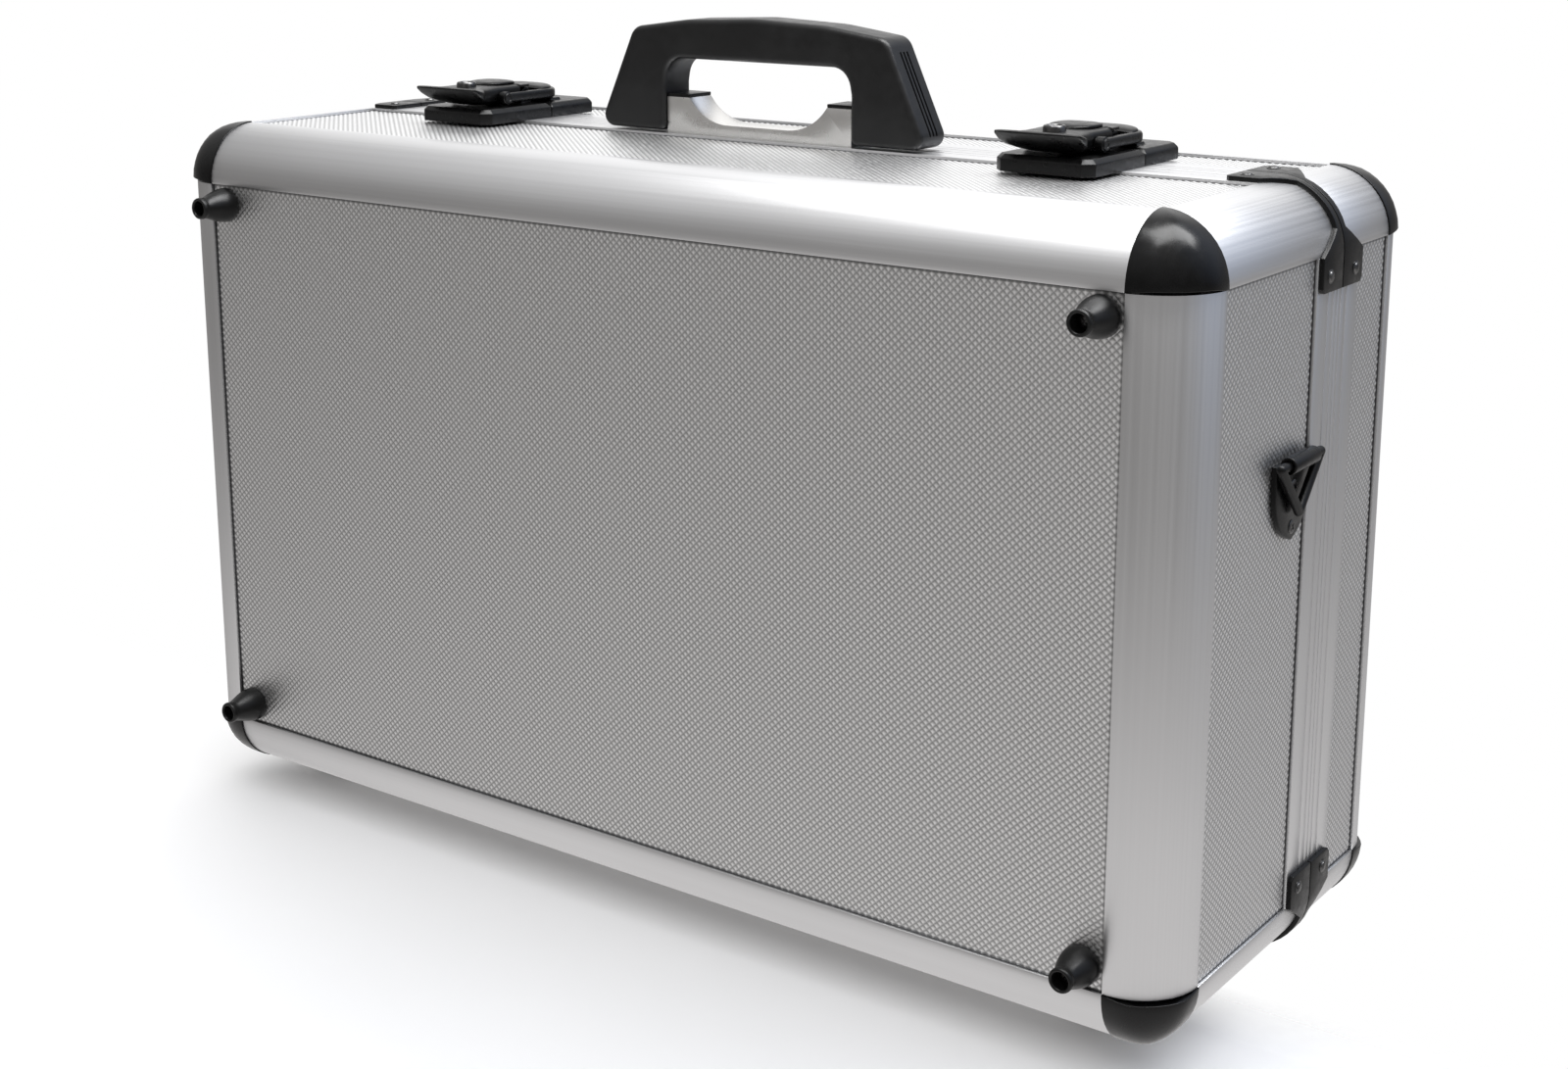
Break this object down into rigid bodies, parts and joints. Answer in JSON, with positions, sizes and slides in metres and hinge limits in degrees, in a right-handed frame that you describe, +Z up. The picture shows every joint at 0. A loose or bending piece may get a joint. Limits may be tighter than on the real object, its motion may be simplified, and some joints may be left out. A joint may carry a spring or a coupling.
{
  "type": "equipment case",
  "caption": "Upright aluminium-framed hard carrying case with embossed silver boards, black ball corners, toggle latches, hinged lid and folding handle.",
  "frame": {"origin": "middle of the case's bounding box, on the floor under its standing feet", "axes": "+X along the width to the right-hand side, +Y from the deep base shell towards the lid, +Z up towards the handle"},
  "size_m": [0.5132, 0.2056, 0.36],
  "materials": {
    "anodised_aluminium": "satin anodised, silver",
    "embossed_board": "fibreboard faced with embossed silver aluminium foil",
    "corner_plastic": "glossy black moulded plastic",
    "black_hardware": "satin black painted steel",
    "handle_plastic": "fine-grained black moulded plastic",
    "bracket_metal": "satin cast metal",
    "foot_rubber": "black rubber",
    "dark_steel": "blackened steel",
    "lining_cloth": "dark grey flocked lining"
  },
  "bodies": {
    "base": {"base_bottom_frame": "anodised_aluminium", "base_bottom_panel": "embossed_board", "base_braces": "black_hardware", "base_corners": "corner_plastic", "base_depth_rails": "anodised_aluminium", "base_foot_screws": "dark_steel", "base_hinge_leaves": "black_hardware", "base_left_panel": "embossed_board", "base_lining": "lining_cloth", "base_right_panel": "embossed_board", "base_rivets": "dark_steel", "base_side_frames": "anodised_aluminium", "base_standing_feet": "foot_rubber", "base_top_frame": "anodised_aluminium", "base_top_panel": "embossed_board", "bracket_caps": "handle_plastic", "face_feet": "foot_rubber", "frame_tongue": "anodised_aluminium", "front_bottom_rail": "anodised_aluminium", "front_left_rail": "anodised_aluminium", "front_panel": "embossed_board", "front_right_rail": "anodised_aluminium", "front_top_rail": "anodised_aluminium", "handle_bracket": "bracket_metal", "handle_pins": "dark_steel", "hinge_pins": "dark_steel", "latch_pins": "dark_steel", "latch_plates": "black_hardware", "strap_plates": "black_hardware", "strap_screws": "dark_steel"},
    "lid": {"back_bottom_rail": "anodised_aluminium", "back_left_rail": "anodised_aluminium", "back_panel": "embossed_board", "back_right_rail": "anodised_aluminium", "back_top_rail": "anodised_aluminium", "latch_catches": "black_hardware", "lid_bottom_frame": "anodised_aluminium", "lid_bottom_panel": "embossed_board", "lid_braces": "black_hardware", "lid_corners": "corner_plastic", "lid_depth_rails": "anodised_aluminium", "lid_foot_screws": "dark_steel", "lid_hinge_leaves": "black_hardware", "lid_left_panel": "embossed_board", "lid_lining": "lining_cloth", "lid_right_panel": "embossed_board", "lid_rivets": "dark_steel", "lid_side_frames": "anodised_aluminium", "lid_standing_feet": "foot_rubber", "lid_top_frame": "anodised_aluminium", "lid_top_panel": "embossed_board"},
    "handle": {"carry_handle": "handle_plastic"},
    "right_lever": {"right_latch_lever": "black_hardware"},
    "right_bail": {"right_latch_bail": "black_hardware"},
    "right_key": {"right_key_cylinder": "dark_steel"},
    "right_ring": {"right_strap_ring": "black_hardware"},
    "left_lever": {"left_latch_lever": "black_hardware"},
    "left_bail": {"left_latch_bail": "black_hardware"},
    "left_key": {"left_key_cylinder": "dark_steel"},
    "left_ring": {"left_strap_ring": "black_hardware"}
  },
  "joints": [
    {"name": "lid_hinge", "type": "hinge", "parent": "base", "child": "lid", "pos_m": [0, 0.03025, 0.0068], "axis": [-1, 0, 0], "range_deg": [0, 100]},
    {"name": "handle_swing", "type": "hinge", "parent": "base", "child": "handle", "pos_m": [0, 0.021, 0.3215], "axis": [1, 0, 0], "range_deg": [-88, 88]},
    {"name": "right_lever_lift", "type": "hinge", "parent": "base", "child": "right_lever", "pos_m": [0.15, 0.02425, 0.3203], "axis": [-1, 0, 0], "range_deg": [0, 95]},
    {"name": "right_bail_turn", "type": "hinge", "parent": "right_lever", "child": "right_bail", "pos_m": [0.15, 0.00625, 0.3203], "axis": [-1, 0, 0], "range_deg": [-95, 0]},
    {"name": "right_key_turn", "type": "hinge", "parent": "right_lever", "child": "right_key", "pos_m": [0.15, -0.00275, 0.3243], "axis": [0, 0, 1], "range_deg": [0, 90]},
    {"name": "right_ring_swing", "type": "hinge", "parent": "base", "child": "right_ring", "pos_m": [0.2534, -0.00325, 0.215], "axis": [0, -1, 0], "range_deg": [0, 175]},
    {"name": "left_lever_lift", "type": "hinge", "parent": "base", "child": "left_lever", "pos_m": [-0.15, 0.02425, 0.3203], "axis": [-1, 0, 0], "range_deg": [0, 95]},
    {"name": "left_bail_turn", "type": "hinge", "parent": "left_lever", "child": "left_bail", "pos_m": [-0.15, 0.00625, 0.3203], "axis": [-1, 0, 0], "range_deg": [-95, 0]},
    {"name": "left_key_turn", "type": "hinge", "parent": "left_lever", "child": "left_key", "pos_m": [-0.15, -0.00275, 0.3243], "axis": [0, 0, 1], "range_deg": [0, 90]},
    {"name": "left_ring_swing", "type": "hinge", "parent": "base", "child": "left_ring", "pos_m": [-0.2534, -0.00325, 0.215], "axis": [0, 1, 0], "range_deg": [0, 175]}
  ],
  "couplings": [
    {"joint": "right_bail_turn", "follows": "right_lever_lift", "ratio": -1},
    {"joint": "left_bail_turn", "follows": "left_lever_lift", "ratio": -1}
  ]
}
